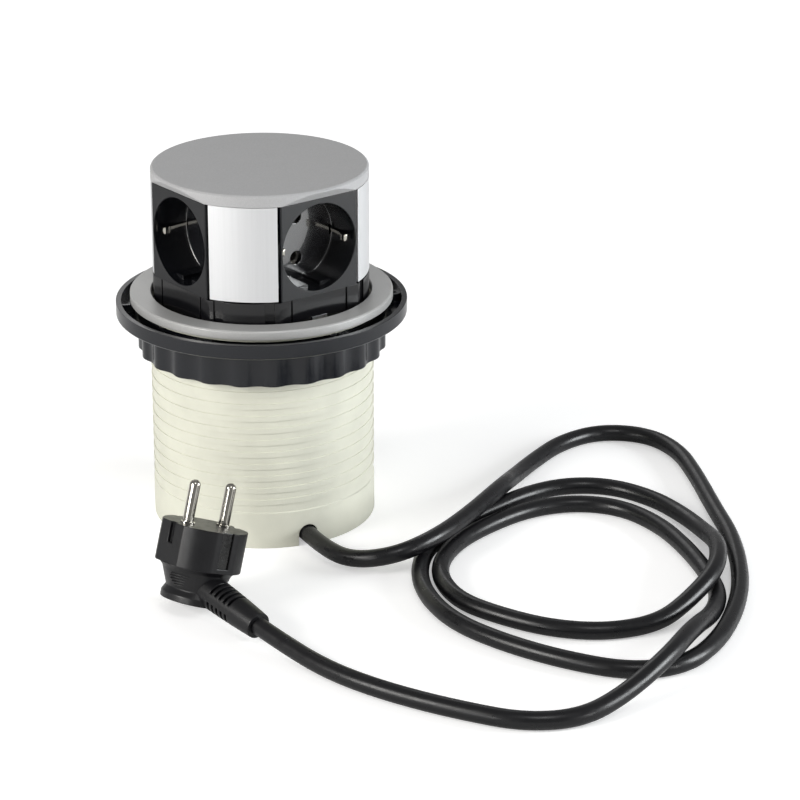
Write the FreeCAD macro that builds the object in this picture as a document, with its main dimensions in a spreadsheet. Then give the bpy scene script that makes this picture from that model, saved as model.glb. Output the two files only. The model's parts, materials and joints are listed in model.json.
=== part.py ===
import FreeCAD, Part

import math
import os
import re

import Sketcher

# Pop-up desk socket: a round head with four earthed sockets slides out of a threaded
# housing, which a clamp nut fixes in the hole of a worktop. Millimetres, +Z up, origin
# under the middle of the housing, the sockets facing -Y, +X, +Y and -X.

doc = FreeCAD.newDocument("desk_socket")
sheet = doc.addObject("Spreadsheet::Sheet", "sizes")

SIZES = {
    # Head: cap, aluminium corner panels and the four socket faces
    "head_radius": 48.5,
    "cap_top": 164.4,
    "cap_height": 5.4,
    "cap_plate": 2.6,
    "cap_rim_width": 6.5,
    "cap_edge_bevel": 0.9,
    "flat_inset": 4.4,
    "face_height": 43.7,
    "face_plate": 2.2,
    "face_lap": 0.2,
    "panel_wall": 1.5,
    "panel_angle": "36.5 deg",
    "panel_lift": 0.6,
    "small_gap": 0.1,
    # Socket wells
    "well_radius": 19.75,
    "well_wall": 1.4,
    "well_drop": 0.35,
    "core_half_side": 23.4,
    "well_floor": 3.2,
    "pin_pitch": 19.0,
    "pin_hole_radius": 3.0,
    "guide_chord": 17.6,
    "guide_half_width": 10.0,
    "guide_notch": 6.6,
    "guide_setback": 4.0,
    "insert_clearance": 0.25,
    # Contacts, bus bars and their wires
    "sleeve_radius": 3.4,
    "sleeve_bore": 2.45,
    "sleeve_length": 15.5,
    "strip_wall": 0.8,
    "strip_width": 6.0,
    "bus_plate": 14.0,
    "bus_setback": 3.4,
    "clip_offset": 18.9,
    "clip_width": 4.0,
    "clip_bulge": 2.0,
    "clip_setback": 2.6,
    "clip_bend": 8.5,
    "clip_crown": 2.8,
    "riser_radius": 1.2,
    "riser_offset": 5.0,
    "riser_clearance": 0.6,
    # Head frame: skirt, deck and corner posts
    "skirt_length": 43.2,
    "skirt_wall": 2.4,
    "skirt_inset": 0.5,
    "deck": 4.0,
    "deck_hole_radius": 9.0,
    "post_screw_inset": 21.6,
    "screw_radius": 1.45,
    "screw_clearance": 0.15,
    "screw_head_radius": 2.8,
    "screw_head": 2.2,
    "boss_radius": 4.0,
    "groove_angle": "13.7 deg",
    "groove_span": "5.1 deg",
    "groove_depth": 1.2,
    "line_width": 0.8,
    "line_offset": 14.9,
    "lug_half_width": 10.0,
    "lug_height": 4.0,
    "lug_depth": 2.9,
    "spring_wall": 0.5,
    "spring_half_width": 4.0,
    "spring_foot": 4.0,
    "spring_length": 27.0,
    "spring_lift": 6.0,
    "spring_clearance": 0.3,
    # Housing
    "slide_clearance": 0.4,
    "housing_wall": 1.1,
    "thread_depth": 0.5,
    "smooth_band": 17.1,
    "rail_offset": 12.0,
    "rail_wall": 2.0,
    "rail_clearance": 0.4,
    "rail_top_gap": 1.5,
    "wall_bite": 0.4,
    "flange_reach": 5.5,
    "flange": 2.1,
    "ring_setback": 0.5,
    "ring_overhang": 3.1,
    "ring_height": 3.9,
    "ring_top": 106.3,
    "ring_bevel": 0.6,
    "ring_inner_bevel": 0.5,
    "ring_screw_radius": 1.2,
    "ring_screw_head_radius": 2.0,
    "ring_screw_head": 1.2,
    "ring_screw_grip": 2.4,
    # Pressure ring and clamp nut
    "rim_reach": 15.0,
    "rim_wall": 2.4,
    "rim_top": 102.0,
    "rim_height": 6.6,
    "rim_floor": 2.0,
    "rim_bevel": 0.6,
    "collar_height": 3.0,
    "collar_wall": 2.1,
    "rib_wall": 1.8,
    "rib_length": 7.1,
    "rib_height": 3.6,
    "channel_boss_inset": 5.3,
    "channel_boss_radius": 3.1,
    "channel_boss_hole": 1.1,
    "nut_clearance": 0.3,
    "nut_gap": 0.1,
    "nut_height": 16.3,
    "lobe_wall": 5.1,
    "lobe_depth": 1.6,
    "lobe_turn": "322.2 deg",
    "lobe_count": 23,
    # Base cover, cable entry and cable clamp
    "cover_level": 9.3,
    "cover_plate": 3.0,
    "cover_clearance": 0.1,
    "cover_wall": 2.0,
    "cover_lift": 2.0,
    "cable_radius": 3.9,
    "entry_turn": "13 deg",
    "entry_height": 5.3,
    "entry_clearance": 0.5,
    "slot_clearance": 0.85,
    "lead_bend": 31.0,
    "lead_bend_start": 26.0,
    "lead_slack": 9.0,
    "clamp_wall": 1.2,
    "clamp_half_length": 13.5,
    "clamp_width": 8.0,
    "clamp_setback": 12.5,
    "clamp_screw_offset": 9.5,
    "clamp_screw_radius": 1.4,
    "clamp_screw_head_radius": 2.4,
    "clamp_screw_head": 1.0,
    "clamp_boss_radius": 3.6,
    "block_half_side": 13.0,
    "block_height": 7.3,
    "terminal_radius": 2.0,
    "terminal_depth": 5.0,
    # Plug
    "plug_radius": 18.6,
    "plug_guide_flat": 16.9,
    "plug_earth_flat": 17.9,
    "plug_block": 17.8,
    "plug_block_bevel": 1.8,
    "plug_neck": 28.0,
    "plug_length": 33.4,
    "plug_pin_radius": 2.4,
    "plug_pin_length": 19.0,
    "plug_pin_collar": 3.1,
    "plug_pin_collar_height": 0.8,
    "neck_half_width": 10.6,
    "neck_half_depth": 14.0,
    "plug_flange_half_width": 12.3,
    "plug_flange_half_depth": 15.2,
    "plug_flange": 2.8,
    "earth_slot_width": 5.4,
    "earth_slot_depth": 1.6,
    "earth_slot_end": 15.6,
    "guide_slot_width": 3.4,
    "guide_slot_length": 9.0,
    "relief_axis": 24.0,
    "relief_tilt": "12 deg",
    "relief_yaw": "6 deg",
    "relief_length": 45.0,
    "relief_straight": 15.0,
    "relief_half_width": 7.4,
    "relief_half_height": 7.0,
    "relief_tip_radius": 5.7,
    "relief_slot": 1.3,
    "relief_core": 4.7,
    "relief_web": 2.0,
    "relief_slot_pitch": 2.9,
    "relief_slot_start": 18.2,
    "relief_slot_count": 5,
}

# Sizes that follow from those above, so that what slides or seats keeps its clearance
FOLLOWING = {
    "flat_offset": "head_radius - flat_inset",
    "skirt_flat_offset": "flat_offset - skirt_inset",
    "face_half_width": "sqrt(head_radius ^ 2 - flat_offset ^ 2) + face_lap",
    "post_screw_offset": "head_radius - post_screw_inset",
    "well_depth": "flat_offset - well_floor - core_half_side",
    "bus_reach": "core_half_side - bus_setback",
    "housing_bore": "head_radius + slide_clearance",
    "thread_root": "housing_bore + housing_wall",
    "housing_radius": "thread_root + thread_depth",
    "flange_radius": "housing_radius + flange_reach",
    "ring_bore": "housing_bore + ring_setback",
    "ring_radius": "flange_radius + ring_overhang",
    "ring_screw_circle": "(housing_radius + flange_radius) / 2",
    "slide_bore": "housing_radius + nut_clearance",
    "rim_radius": "housing_radius + rim_reach",
    "channel_boss_circle": "rim_radius - channel_boss_inset",
    "lobe_crest": "slide_bore + lobe_wall",
    "lobe_crease": "lobe_crest - lobe_depth",
    "lead_start": "housing_bore - slide_clearance",
    "clamp_start": "lead_start - clamp_setback",
}

cells = list(SIZES.items()) + [(word, "=" + text) for word, text in FOLLOWING.items()]
for row, (word, content) in enumerate(cells, start=1):
    sheet.set(f"A{row}", word)
    sheet.set(f"B{row}", str(content))
    sheet.setAlias(f"B{row}", word)
doc.recompute()

# Levels and depths, as formulas of the sheet's words
CAP_BOTTOM = "(cap_top - cap_height)"
FACE_BOTTOM = "(cap_top - cap_height - face_height)"
WELL_LEVEL = "(cap_top - cap_height - face_height / 2 - well_drop)"
FLOOR_FRONT = "(flat_offset - well_depth)"
FLOOR_BACK = "(flat_offset - well_depth - well_floor)"
SKIRT_BOTTOM = f"({FACE_BOTTOM} - skirt_length)"
DECK_BOTTOM = f"({FACE_BOTTOM} - deck)"
BLOCK_BOTTOM = f"({DECK_BOTTOM} - block_height)"
FLANGE_TOP = "(ring_top - ring_height)"
FLANGE_BOTTOM = f"({FLANGE_TOP} - flange)"
RIM_BOTTOM = "(rim_top - rim_height)"
COVER_TOP = "(cover_level + cover_plate)"
CABLE_UNDERSIDE = "(entry_height - cable_radius)"
BOSS_HEIGHT = f"(cover_level - {CABLE_UNDERSIDE})"
CLAMP_BOTTOM = f"({CABLE_UNDERSIDE} - clamp_wall)"
UPPER_PIN = f"({WELL_LEVEL} + pin_pitch / 2)"
LOWER_PIN = f"({WELL_LEVEL} - pin_pitch / 2)"
LINE_BUS = f"({LOWER_PIN} - sleeve_radius - strip_wall)"
NEUTRAL_BUS = f"({UPPER_PIN} + sleeve_radius)"
EARTH_BUS = f"({WELL_LEVEL} - strip_wall / 2)"
UNDER_PANELS = "(head_radius - panel_wall - small_gap)"

SIDES = {"front": 0, "right": 90, "back": 180, "left": 270}
HALF_QUARTER = 45
WEB_COUNT = 6
WORDS = re.compile(r"[a-z][a-z_]*[a-z]")
UP = FreeCAD.Vector(0, 0, 1)
ORIGIN = FreeCAD.Vector(0, 0, 0)
kept = []


def formula(text):
    """The text with each word written as the sheet's cell."""
    return WORDS.sub(lambda found: "sizes." + found[0], text)


def value(text):
    """The number that a word or a formula of the sheet's words comes to."""
    return float(sheet.evalExpression(formula(text)))


def bind(thing, **formulas):
    """Binds properties to formulas; a double underscore stands for a dot in their path."""
    for name, text in formulas.items():
        thing.setExpression(name.replace("__", "."), formula(text))
    return thing


def place(thing, x, y, z):
    return bind(thing, Placement__Base__x=x, Placement__Base__y=y, Placement__Base__z=z)


def turn(thing, degrees):
    """Turns an object about the part's vertical axis."""
    thing.Placement = FreeCAD.Placement(ORIGIN, FreeCAD.Rotation(UP, degrees))
    return thing


def turned(name, thing, degrees):
    """A turned group of one object, for use in a boolean."""
    group = doc.addObject("Part::Compound", name)
    group.Links = [thing]
    return turn(group, degrees)


def box(name, x, y, z, across, along, up):
    """A box from its lowest corner and its three sides."""
    thing = bind(doc.addObject("Part::Box", name), Length=across, Width=along, Height=up)
    return place(thing, x, y, z)


def slab(name, half_x, half_y, z, up):
    """A box centred on the vertical axis."""
    return box(name, f"-({half_x})", f"-({half_y})", z, f"2 * ({half_x})", f"2 * ({half_y})", up)


def post(name, radius, z, up, x="0", y="0"):
    """An upright cylinder."""
    thing = bind(doc.addObject("Part::Cylinder", name), Radius=radius, Height=up)
    return place(thing, x, y, z)


def barrel(name, radius, x, y, z, length):
    """A cylinder lying along Y, from y towards +Y."""
    thing = doc.addObject("Part::Cylinder", name)
    thing.Placement = FreeCAD.Placement(ORIGIN, FreeCAD.Rotation(FreeCAD.Vector(1, 0, 0), -90))
    return place(bind(thing, Radius=radius, Height=length), x, y, z)


def cone(name, low_radius, high_radius, z, up, x="0", y="0"):
    thing = doc.addObject("Part::Cone", name)
    bind(thing, Radius1=low_radius, Radius2=high_radius, Height=up)
    return place(thing, x, y, z)


def fuse(name, pieces):
    thing = doc.addObject("Part::MultiFuse", name)
    thing.Shapes = pieces
    thing.Refine = True
    return thing


def common(name, pieces):
    thing = doc.addObject("Part::MultiCommon", name)
    thing.Shapes = pieces
    return thing


def cut(name, base, tools):
    """The base less all the tools."""
    thing = doc.addObject("Part::Cut", name)
    thing.Base = base
    thing.Tool = tools[0] if len(tools) == 1 else fuse(name + "_tools", tools)
    thing.Refine = True
    return thing


def group_of(name, pieces):
    """Separate solids of one kind, kept as one sub-part."""
    thing = doc.addObject("Part::Compound", name)
    thing.Links = pieces
    return thing


def feature(name, shape):
    """A sub-part whose shape is worked out in this file."""
    thing = doc.addObject("Part::Feature", name)
    thing.Shape = shape
    return thing


def keep(thing, label):
    """Marks a finished sub-part under the name of its node."""
    thing.Label = label
    kept.append(thing)
    return thing


def lathe(name, outline):
    """A body turned about Z from a closed outline of (radius, height) formulas."""
    body = doc.addObject("PartDesign::Body", name)
    sketch = body.newObject("Sketcher::SketchObject", name + "_outline")
    plane = [f for f in body.Origin.OriginFeatures if f.Role == "XZ_Plane"][0]
    sketch.AttachmentSupport = [(plane, "")]
    sketch.MapMode = "FlatFace"
    corners = [FreeCAD.Vector(value(radius), value(height), 0) for radius, height in outline]
    count = len(corners)
    for i in range(count):
        sketch.addGeometry(Part.LineSegment(corners[i], corners[(i + 1) % count]), False)
    for i in range(count):
        sketch.addConstraint(Sketcher.Constraint("Coincident", i, 2, (i + 1) % count, 1))
    for i, (radius, height) in enumerate(outline):
        for kind, text, number, axis in (
            ("DistanceX", radius, corners[i].x, -2),
            ("DistanceY", height, corners[i].y, -1),
        ):
            if text == "0":
                sketch.addConstraint(Sketcher.Constraint("PointOnObject", i, 1, axis))
                continue
            row = sketch.addConstraint(Sketcher.Constraint(kind, -1, 1, i, 1, number))
            sketch.setExpression(f"Constraints[{row}]", formula(text))
    spin = body.newObject("PartDesign::Revolution", name + "_turning")
    spin.Profile = sketch
    spin.ReferenceAxis = (sketch, ["V_Axis"])
    spin.Angle = 360
    return body


def arc_plate(name, radius, wall, z, up, middle, span):
    """A curved plate: part of a ring about the vertical axis."""
    wedge = bind(doc.addObject("Part::Cylinder", name + "_wedge"), Radius=radius, Height=up)
    place(bind(wedge, Angle=span), "0", "0", z)
    inside = post(name + "_inside", f"{radius} - {wall}", z, up)
    return turn(cut(name, wedge, [inside]), middle - value(span) / 2)


def head_cap():
    """The round lid: a recess under it, four screw bosses, a slanted scoop over each face."""
    recess = "head_radius - cap_rim_width"
    blank = lathe(
        "cap_blank",
        [
            (recess, CAP_BOTTOM),
            ("head_radius", CAP_BOTTOM),
            ("head_radius", "cap_top - cap_edge_bevel"),
            ("head_radius - cap_edge_bevel", "cap_top"),
            ("0", "cap_top"),
            ("0", "cap_top - cap_plate"),
            (recess, "cap_top - cap_plate"),
        ],
    )
    hole = "screw_radius + screw_clearance"
    boss_height = "cap_height - cap_plate"
    bosses = []
    pilots = []
    for i, (x, y) in enumerate(corner_places("post_screw_offset")):
        bosses.append(post(f"cap_boss_{i}", "boss_radius", CAP_BOTTOM, boss_height, x, y))
        pilots.append(post(f"cap_pilot_{i}", hole, CAP_BOTTOM, boss_height, x, y))
    scoops = []
    for side, degrees in SIDES.items():
        scoop = doc.addObject("Part::Box", f"cap_scoop_{side}")
        bind(scoop, Length="2 * head_radius", Width="2 * cap_height", Height="2 * cap_height")
        # Leaning outwards from the face's top edge, halfway between up and out
        lean = FreeCAD.Rotation(FreeCAD.Vector(1, 0, 0), 90 + HALF_QUARTER)
        scoop.Placement = FreeCAD.Placement(ORIGIN, lean)
        place(scoop, "-head_radius", "-flat_offset", CAP_BOTTOM)
        scoops.append(turned(f"cap_scoop_{side}_turned", scoop, degrees))
    return keep(cut("cap", fuse("cap_whole", [blank] + bosses), pilots + scoops), "head_cap")


def corner_places(offset):
    """Four places on the diagonals, as pairs of formulas."""
    return [(f"{a}{offset}", f"{b}{offset}") for a in ("", "-") for b in ("", "-")]


def corner_panels():
    for i, degrees in enumerate(SIDES.values(), start=1):
        panel = arc_plate(
            f"panel_{i}",
            "head_radius",
            "panel_wall",
            f"{FACE_BOTTOM} + panel_lift",
            "face_height - panel_lift - small_gap",
            degrees - HALF_QUARTER,
            "panel_angle",
        )
        keep(panel, f"corner_panel_{i}")


def socket_insert(side, degrees):
    """One socket: its flat face, the round well, two guides and the floor with its holes."""
    depth = "well_depth + well_floor"
    face = common(
        f"{side}_face",
        [
            box(
                f"{side}_face_plate",
                "-face_half_width",
                "-flat_offset",
                FACE_BOTTOM,
                "2 * face_half_width",
                "face_plate",
                "face_height",
            ),
            post(f"{side}_face_round", "head_radius - small_gap", FACE_BOTTOM, "face_height"),
        ],
    )
    cup = common(
        f"{side}_cup",
        [
            barrel(
                f"{side}_cup_outside", "well_radius + well_wall", "0", "-flat_offset",
                WELL_LEVEL, depth,
            ),
            post(f"{side}_cup_round", UNDER_PANELS, FACE_BOTTOM, "face_height"),
        ],
    )
    well = barrel(
        f"{side}_well", "well_radius", "0", "-flat_offset - small_gap", WELL_LEVEL,
        "well_depth + small_gap",
    )
    guide_depth = "well_depth - guide_setback"
    guides = []
    for name, low in (("upper", "guide_chord"), ("lower", "-well_radius - small_gap")):
        guides.append(
            box(
                f"{side}_{name}_guide",
                "-guide_half_width",
                "-flat_offset + guide_setback",
                f"{WELL_LEVEL} + ({low})",
                "2 * guide_half_width",
                guide_depth,
                "well_radius + small_gap - guide_chord",
            )
        )
    notch = box(
        f"{side}_guide_notch", "-guide_notch / 2", "-flat_offset + guide_setback",
        f"{WELL_LEVEL} - well_radius - small_gap", "guide_notch", guide_depth,
        "2 * (well_radius + small_gap)",
    )
    guide_pair = fuse(f"{side}_guide_pair", guides)
    openings = [cut(f"{side}_hollow", well, [cut(f"{side}_guides", guide_pair, [notch])])]
    for name, level in (("upper", UPPER_PIN), ("lower", LOWER_PIN)):
        openings.append(
            barrel(
                f"{side}_{name}_pin_hole", "pin_hole_radius", "0",
                f"-{FLOOR_FRONT} - small_gap", level, "well_floor + 2 * small_gap",
            )
        )
    for name, sign in (("near", "-"), ("far", "")):
        openings.append(
            box(
                f"{side}_{name}_clip_slot",
                f"{sign}clip_offset - strip_wall / 2 - small_gap",
                f"-{FLOOR_FRONT} - small_gap",
                f"{WELL_LEVEL} - clip_width / 2 - small_gap",
                "strip_wall + 2 * small_gap",
                "well_floor + 2 * small_gap",
                "clip_width + 2 * small_gap",
            )
        )
    insert = cut(f"{side}_insert", fuse(f"{side}_shell", [face, cup]), openings)
    return keep(turn(insert, degrees), f"socket_insert_{side}")


def earth_clip(side, degrees):
    """A bent strip: two springy contacts joined behind the floor of the well."""
    wall = value("strip_wall")
    half = wall / 2
    offset = value("clip_offset")
    back = value(FLOOR_BACK)
    tip = value("flat_offset - clip_setback")
    bend = tip - value("clip_bend")
    crown = tip - value("clip_crown")
    bulge = offset - value("clip_bulge")
    right = [
        (offset + half, back - wall),
        (offset + half, bend),
        (bulge + half, crown),
        (offset - half, tip),
        (offset - half - wall, tip),
        (bulge - half, crown),
        (offset - half, bend),
        (offset - half, back),
    ]
    left = [(-x, y) for x, y in reversed(right)]
    low = value(f"{WELL_LEVEL} - clip_width / 2")
    points = [FreeCAD.Vector(x, -y, low) for x, y in right + left]
    strip = Part.Face(Part.makePolygon(points + points[:1]))
    clip = feature(f"{side}_clip", strip.extrude(FreeCAD.Vector(0, 0, value("clip_width"))))
    return keep(turn(clip, degrees), f"earth_clip_{side}")


def contact_sleeves(side, degrees):
    tubes = []
    for name, level in (("upper", UPPER_PIN), ("lower", LOWER_PIN)):
        y = f"-{FLOOR_BACK}"
        outside = barrel(f"{side}_{name}_sleeve", "sleeve_radius", "0", y, level, "sleeve_length")
        bore = barrel(f"{side}_{name}_bore", "sleeve_bore", "0", y, level, "sleeve_length")
        tubes.append(cut(f"{side}_{name}_tube", outside, [bore]))
    pair = group_of(f"{side}_sleeves", tubes)
    return keep(turn(pair, degrees), f"contact_sleeves_{side}")


def bus_bar(name, level, reach, passing):
    """A cross of strip that joins the four sockets, with holes for the wires passing it."""
    arms = [
        slab(f"{name}_x", reach, "strip_width / 2", level, "strip_wall"),
        slab(f"{name}_y", "strip_width / 2", reach, level, "strip_wall"),
        slab(f"{name}_plate", "bus_plate / 2", "bus_plate / 2", level, "strip_wall"),
    ]
    whole = fuse(f"{name}_cross", arms)
    if not passing:
        return keep(whole, name)
    holes = []
    for i, (x, y) in enumerate(passing):
        holes.append(
            post(f"{name}_hole_{i}", "riser_radius + riser_clearance", level, "strip_wall", x, y)
        )
    return keep(cut(f"{name}_drilled", whole, holes), name)


def bus_bars_and_wires():
    line, neutral, earth = corner_places("riser_offset")[:3]
    bus_bar("line_bus_bar", LINE_BUS, "bus_reach", [neutral, earth])
    bus_bar("earth_bus_bar", EARTH_BUS, f"{FLOOR_BACK} - strip_wall", [neutral])
    bus_bar("neutral_bus_bar", NEUTRAL_BUS, "bus_reach", [])
    wires = (("line", line, LINE_BUS), ("neutral", neutral, NEUTRAL_BUS), ("earth", earth, EARTH_BUS))
    for name, (x, y), top in wires:
        wire = post(f"{name}_riser", "riser_radius", DECK_BOTTOM, f"{top} - {DECK_BOTTOM}", x, y)
        keep(wire, f"{name}_wire")


def terminal_block():
    """The block under the deck, with three screw terminals open from below."""
    block = slab("block", "block_half_side", "block_half_side", BLOCK_BOTTOM, "block_height")
    holes = []
    y = "-block_half_side + 2 * terminal_radius"
    for i, x in enumerate(("-block_half_side / 2", "0", "block_half_side / 2")):
        name = f"terminal_{i}"
        holes.append(post(name, "terminal_radius", BLOCK_BOTTOM, "terminal_depth", x, y))
    return keep(cut("block_drilled", block, holes), "terminal_block")


def flattened(name, radius, flat, z, up):
    """A round bar with four flats, upright."""
    flats = slab(name + "_flats", flat, flat, z, up)
    return common(name, [post(name + "_round", radius, z, up), flats])


def head_frame():
    """The hidden carrier: a skirt with flats and grooves, the deck and four corner posts."""
    skirt = flattened("skirt", "head_radius", "skirt_flat_offset", SKIRT_BOTTOM, "skirt_length")
    inside = flattened(
        "skirt_inside", "head_radius - skirt_wall", "skirt_flat_offset - skirt_wall", SKIRT_BOTTOM,
        "skirt_length - deck",
    )
    start = "well_radius + well_wall + insert_clearance"
    reach = f"head_radius - ({start})"
    block = box("post_block", start, start, FACE_BOTTOM, reach, reach, "face_height")
    posts = [turned(f"post_block_{side}", block, degrees) for side, degrees in SIDES.items()]
    trim = post("post_round", UNDER_PANELS, FACE_BOTTOM, "face_height")
    corner_posts = common("corner_posts", [fuse("post_blocks", posts), trim])
    lugs = []
    for side in ("right", "left"):
        lug = box(
            f"lug_block_{side}", "-lug_half_width", "-skirt_flat_offset - lug_depth", SKIRT_BOTTOM,
            "2 * lug_half_width", "lug_depth + wall_bite", "lug_height",
        )
        lugs.append(turned(f"lug_{side}", lug, SIDES[side]))
    whole = fuse("frame_whole", [skirt, corner_posts] + lugs)
    tools = [inside, post("deck_hole", "deck_hole_radius", DECK_BOTTOM, "deck")]
    for i, (x, y) in enumerate(corner_places("post_screw_offset")):
        tools.append(
            post(
                f"frame_screw_hole_{i}", "screw_radius + screw_clearance", DECK_BOTTOM,
                "deck + face_height", x, y,
            )
        )
    for side, degrees in SIDES.items():
        for i, sign in enumerate((-1, 1)):
            middle = degrees - HALF_QUARTER + sign * value("groove_angle")
            tools.append(
                arc_plate(
                    f"groove_{side}_{i}", "head_radius + small_gap", "groove_depth + small_gap",
                    SKIRT_BOTTOM, "skirt_length", middle, "groove_span",
                )
            )
            line = box(
                f"line_box_{side}_{i}", f"{sign} * line_offset - line_width / 2",
                "-skirt_flat_offset - small_gap", SKIRT_BOTTOM, "line_width", "line_width + small_gap",
                "skirt_length",
            )
            tools.append(turned(f"line_{side}_{i}", line, degrees))
    return keep(cut("frame", whole, tools), "head_frame")


def head_screws():
    """Four long screws from under the deck through the posts into the cap."""
    screws = []
    for i, (x, y) in enumerate(corner_places("post_screw_offset")):
        length = "screw_head + deck + face_height + cap_height - cap_plate - 2 * small_gap"
        shank = post(f"screw_{i}", "screw_radius", f"{DECK_BOTTOM} - screw_head", length, x, y)
        head = post(
            f"screw_head_{i}", "screw_head_radius", f"{DECK_BOTTOM} - screw_head", "screw_head", x, y
        )
        screws.append(fuse(f"long_screw_{i}", [shank, head]))
    return keep(group_of("long_screws", screws), "head_screws")


def detent_springs():
    """Two bowed leaf springs between the skirt's flats and the housing's bore."""
    flat = value("skirt_flat_offset")
    wall = value("spring_wall")
    foot = value("spring_foot")
    low = value(f"{SKIRT_BOTTOM} + spring_lift")
    high = low + value("spring_length")
    crown = value("housing_bore - spring_clearance")
    middle = (low + high) / 2
    outline = [
        (flat, low),
        (flat + wall, low),
        (flat + wall, low + foot),
        (crown, middle),
        (flat + wall, high - foot),
        (flat + wall, high),
        (flat, high),
        (flat, high - foot),
        (crown - wall, middle),
        (flat, low + foot),
    ]
    half = value("spring_half_width")
    points = [FreeCAD.Vector(-half, -y, z) for y, z in outline]
    profile = Part.Face(Part.makePolygon(points + points[:1]))
    leaves = []
    for side in ("front", "back"):
        leaf = feature(f"leaf_{side}", profile.extrude(FreeCAD.Vector(2 * half, 0, 0)))
        leaves.append(turn(leaf, SIDES[side]))
    return keep(group_of("leaf_springs", leaves), "detent_springs")


def cable_tunnel(name, clearance, inner, outer):
    """An arch for the cable, open below, along the entry direction."""
    radius = f"cable_radius + {clearance}"
    length = f"{outer} - ({inner})"
    roof = barrel(name + "_roof", radius, "0", f"-({outer})", "entry_height", length)
    sides = box(
        name + "_sides", f"-({radius})", f"-({outer})", "0", f"2 * ({radius})", length, "entry_height"
    )
    return fuse(name, [roof, sides])


def housing_tube():
    tube = lathe(
        "tube_wall",
        [
            ("housing_bore", "0"),
            ("housing_radius", "0"),
            ("housing_radius", "smooth_band"),
            ("thread_root", "smooth_band"),
            ("thread_root", FLANGE_BOTTOM),
            ("flange_radius", FLANGE_BOTTOM),
            ("flange_radius", FLANGE_TOP),
            ("housing_bore", FLANGE_TOP),
        ],
    )
    reach = "housing_bore + wall_bite - flat_offset - rail_clearance"
    rail_height = f"{FLANGE_BOTTOM} - rail_top_gap - {COVER_TOP}"
    inner = []
    for side, degrees in SIDES.items():
        for i, sign in enumerate((-1, 1)):
            rail = box(
                f"rail_box_{side}_{i}", f"{sign} * rail_offset - rail_wall / 2",
                "-housing_bore - wall_bite", COVER_TOP, "rail_wall", reach, rail_height,
            )
            inner.append(turned(f"rail_{side}_{i}", rail, degrees))
    for side in ("right", "left"):
        stop = box(
            f"stop_box_{side}", "-lug_half_width", "-housing_bore - wall_bite",
            f"{SKIRT_BOTTOM} + lug_height + small_gap", "2 * lug_half_width", reach, "lug_height",
        )
        inner.append(turned(f"stop_{side}", stop, SIDES[side]))
    bound = post("inner_bound", "housing_bore + wall_bite", "0", FLANGE_TOP)
    ribs = common("inner_ribs", [fuse("inner_blocks", inner), bound])
    holes = []
    hole = "ring_screw_radius + screw_clearance"
    for i, (x, y) in enumerate(axis_places("ring_screw_circle")):
        holes.append(post(f"flange_hole_{i}", hole, FLANGE_BOTTOM, "flange", x, y))
    mouth = cable_tunnel(
        "mouth", "entry_clearance", "housing_bore - cover_wall", "housing_radius + wall_bite"
    )
    mouth = turned("mouth_turned", mouth, -value("entry_turn"))
    whole = fuse("tube_whole", [tube, ribs])
    return keep(cut("tube", whole, holes + [mouth]), "housing_tube")


def axis_places(radius):
    """Four places on the X and Y axes, as pairs of formulas."""
    return [(radius, "0"), ("0", radius), (f"-{radius}", "0"), ("0", f"-{radius}")]


def trim_ring():
    ring = lathe(
        "ring_body",
        [
            ("ring_bore", FLANGE_TOP),
            ("ring_radius", FLANGE_TOP),
            ("ring_radius", "ring_top - ring_bevel"),
            ("ring_radius - ring_bevel", "ring_top"),
            ("ring_bore + ring_inner_bevel", "ring_top"),
            ("ring_bore", "ring_top - ring_inner_bevel"),
        ],
    )
    holes = []
    hole = "ring_screw_radius + screw_clearance"
    for i, (x, y) in enumerate(axis_places("ring_screw_circle")):
        holes.append(post(f"ring_hole_{i}", hole, FLANGE_TOP, "ring_screw_grip", x, y))
    return keep(cut("ring", ring, holes), "trim_ring")


def ring_screws():
    """Four screws from under the flange up into the trim ring."""
    screws = []
    low = f"{FLANGE_BOTTOM} - ring_screw_head"
    for i, (x, y) in enumerate(axis_places("ring_screw_circle")):
        length = "ring_screw_head + flange + ring_screw_grip - small_gap"
        shank = post(f"ring_shank_{i}", "ring_screw_radius", low, length, x, y)
        head = post(f"ring_head_{i}", "ring_screw_head_radius", low, "ring_screw_head", x, y)
        screws.append(fuse(f"ring_screw_{i}", [shank, head]))
    return keep(group_of("ring_screw_set", screws), "ring_screws")


def pressure_ring():
    """The channel ring that the nut pushes up against the worktop, open at its top."""
    floor_top = f"{RIM_BOTTOM} + rim_floor"
    channel = lathe(
        "channel",
        [
            ("slide_bore", RIM_BOTTOM),
            ("rim_radius - rim_bevel", RIM_BOTTOM),
            ("rim_radius", f"{RIM_BOTTOM} + rim_bevel"),
            ("rim_radius", "rim_top"),
            ("rim_radius - rim_wall", "rim_top"),
            ("rim_radius - rim_wall", floor_top),
            ("slide_bore + collar_wall", floor_top),
            ("slide_bore + collar_wall", f"{RIM_BOTTOM} + collar_height"),
            ("slide_bore", f"{RIM_BOTTOM} + collar_height"),
        ],
    )
    webs = []
    holes = []
    y = "-channel_boss_circle"
    for i in range(WEB_COUNT):
        web = box(
            f"web_box_{i}", "-rib_wall / 2", "-rim_radius + rim_wall / 2", floor_top, "rib_wall",
            "rib_length", "rib_height",
        )
        degrees = 360 / WEB_COUNT * i
        webs.append(turned(f"web_{i}", web, degrees))
        # Every second web carries a screw boss
        if i % 2:
            boss = post(f"boss_post_{i}", "channel_boss_radius", floor_top, "rib_height", "0", y)
            webs.append(turned(f"boss_{i}", boss, degrees))
            hole = post(f"hole_post_{i}", "channel_boss_hole", floor_top, "rib_height", "0", y)
            holes.append(turned(f"hole_{i}", hole, degrees))
    return keep(cut("channel_ring", fuse("channel_whole", [channel] + webs), holes), "pressure_ring")


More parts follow.
